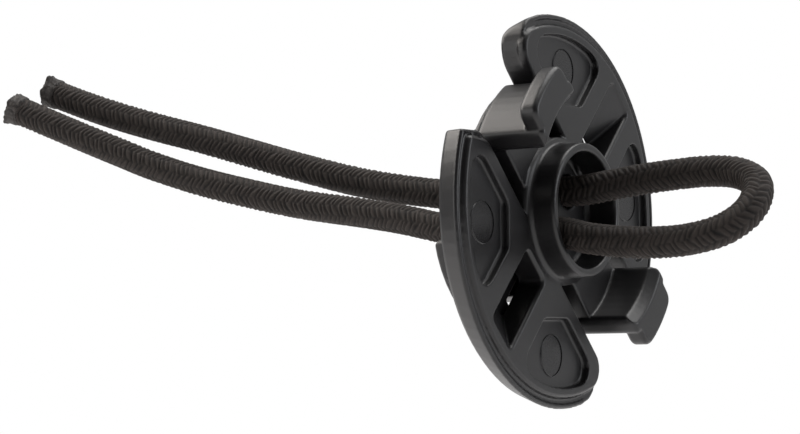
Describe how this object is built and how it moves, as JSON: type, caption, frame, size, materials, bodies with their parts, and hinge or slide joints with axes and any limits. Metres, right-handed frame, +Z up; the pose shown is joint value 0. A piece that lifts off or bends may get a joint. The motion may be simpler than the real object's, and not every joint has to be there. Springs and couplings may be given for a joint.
{
  "type": "snap-in cord lock",
  "caption": "Round panel-mounted cord lock in black plastic, with a looped elastic cord through a collar, flexing snap hooks, and squeeze buttons behind that release the cord.",
  "frame": {"origin": "on the collar's axis, in the plane of the front faces of the two lobes, which seat against the back of a panel", "axes": "+X runs along the collar's axis towards the cord's loop, +Z is up, and the lobes and hooks lie on the diagonals between Y and Z"},
  "size_m": [0.1175, 0.053, 0.053],
  "materials": {
    "moulding": "satin black injection-moulded nylon, fine mould texture with polished edges",
    "button": "satin black injection-moulded acetal",
    "spring": "drawn stainless spring wire",
    "sheath": "fine braided polyester in brown-black",
    "core": "natural latex strands",
    "sealed_end": "melted polyester, rough and grey"
  },
  "bodies": {
    "hub": {"hub_plate": "moulding", "back_housing": "moulding", "return_spring_lower": "spring", "return_spring_upper": "spring", "cord_loop": "sheath", "cord_loop_core": "core", "cord_tail_upper": "sheath", "cord_tail_upper_core": "core", "cord_tail_upper_end": "sealed_end", "cord_tail_lower": "sheath", "cord_tail_lower_core": "core", "cord_tail_lower_end": "sealed_end"},
    "button_lower": {"release_button_lower": "button"},
    "button_upper": {"release_button_upper": "button"},
    "hook_upper": {"snap_hook_upper": "moulding"},
    "hook_lower": {"snap_hook_lower": "moulding"}
  },
  "joints": [
    {"name": "press_lower", "type": "slide", "parent": "hub", "child": "button_lower", "axis": [0, 0.7071, 0.7071], "range_m": [0, 0.002], "stiffness_N_per_m": 1500, "springref_m": -0.002, "deforming": ["return_spring_lower"]},
    {"name": "press_upper", "type": "slide", "parent": "hub", "child": "button_upper", "axis": [0, -0.7071, -0.7071], "range_m": [0, 0.002], "stiffness_N_per_m": 1500, "springref_m": -0.002, "deforming": ["return_spring_upper"]},
    {"name": "flex_upper", "type": "hinge", "parent": "hub", "child": "hook_upper", "pos_m": [-0.00145, -0.00877, 0.00877], "axis": [0, 0.7071, 0.7071], "range_deg": [0, 12], "stiffness_Nm_per_rad": 0.5},
    {"name": "flex_lower", "type": "hinge", "parent": "hub", "child": "hook_lower", "pos_m": [-0.00145, 0.00877, -0.00877], "axis": [0, -0.7071, -0.7071], "range_deg": [0, 12], "stiffness_Nm_per_rad": 0.5}
  ]
}
